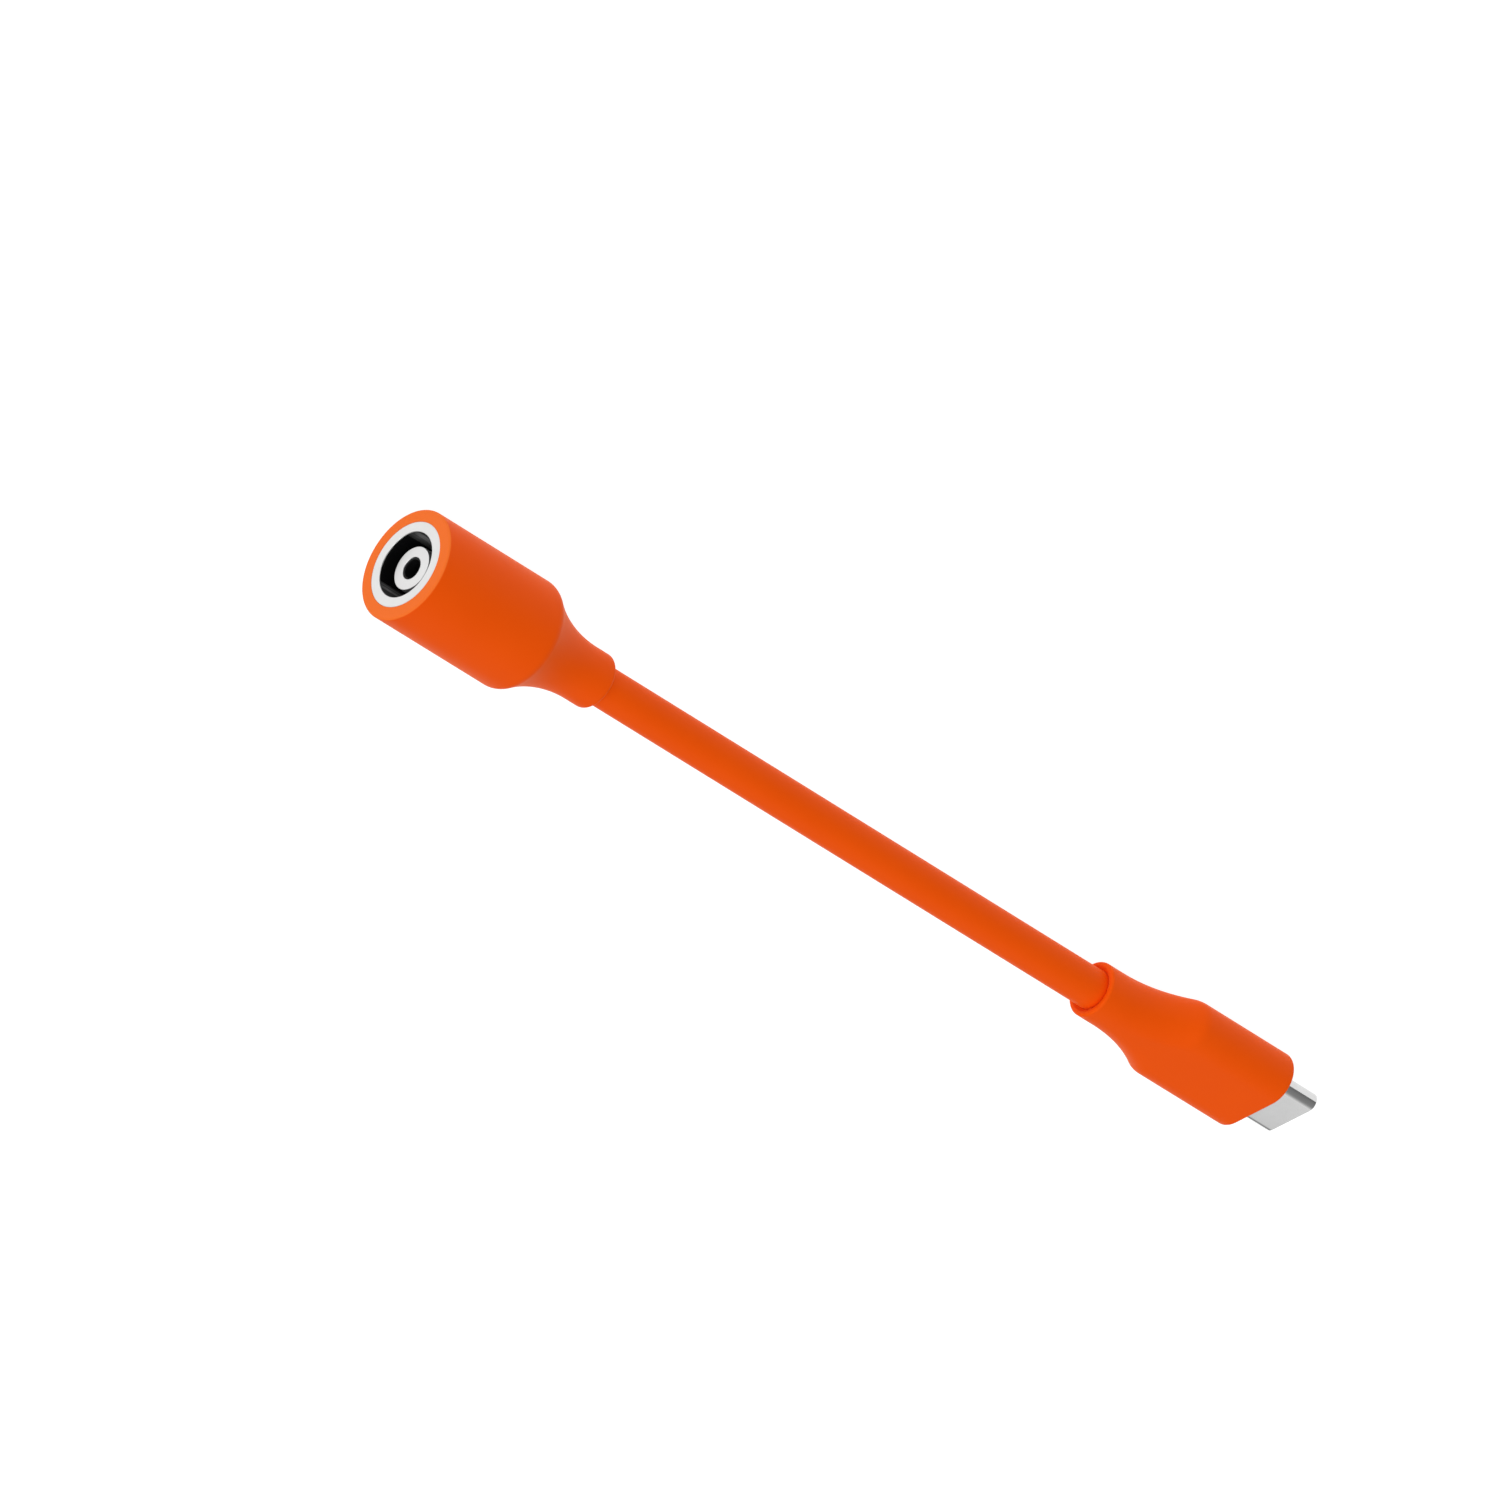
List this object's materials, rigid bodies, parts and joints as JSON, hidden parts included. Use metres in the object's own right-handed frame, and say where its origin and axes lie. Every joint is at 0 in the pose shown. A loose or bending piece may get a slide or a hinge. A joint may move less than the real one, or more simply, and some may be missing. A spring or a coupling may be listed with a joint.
{
  "type": "socket to plug adapter lead",
  "caption": "Short round adapter lead with a round barrel socket moulded on one end and a thin racetrack-shaped plug moulded on the other.",
  "frame": {"origin": "centre of the barrel socket's mouth, in its face plane", "axes": "+X along the lead from the socket's mouth towards the plug's tip, +Z square to the plug's broad faces and up, +Y across the plug's width"},
  "size_m": [0.1525, 0.014, 0.014],
  "materials": {
    "orange_overmould": "satin",
    "nickel_plate": "satin",
    "tip_steel": "satin",
    "black_nylon": "gloss",
    "red_wire": "satin",
    "black_wire": "satin",
    "white_wire": "satin",
    "copper": "satin",
    "gold_plate": "gloss",
    "filler": "matte",
    "inner_mould": "matte",
    "solder": "satin",
    "board_green": "satin",
    "surface_part": "satin",
    "can_steel": "satin",
    "ferrule_brass": "satin"
  },
  "bodies": {
    "root": {"barrel_springs": "nickel_plate", "barrel_terminal": "nickel_plate", "black_wire_copper": "copper", "black_wire_insulation": "black_wire", "bore_liner": "black_nylon", "cable_ferrule": "ferrule_brass", "cable_jacket": "orange_overmould", "centre_terminal": "nickel_plate", "centre_tube": "nickel_plate", "circuit_board": "board_green", "controller_chip": "black_nylon", "filler_cord": "filler", "ground_springs": "tip_steel", "latch_plate": "tip_steel", "lower_contact_carrier": "black_nylon", "lower_contacts": "gold_plate", "lower_shield_can": "can_steel", "outer_barrel": "nickel_plate", "pin_contact": "nickel_plate", "pin_insulator": "black_nylon", "plug_front_housing": "black_nylon", "plug_inner_mould": "inner_mould", "plug_overmould": "orange_overmould", "plug_shell": "tip_steel", "plug_solder_joints": "solder", "red_wire_copper": "copper", "red_wire_insulation": "red_wire", "socket_base": "black_nylon", "socket_inner_mould": "inner_mould", "socket_overmould": "orange_overmould", "socket_solder_joints": "solder", "surface_parts": "surface_part", "upper_contact_carrier": "black_nylon", "upper_contacts": "gold_plate", "upper_shield_can": "can_steel", "white_wire_copper": "copper", "white_wire_insulation": "white_wire"}
  },
  "joints": []
}
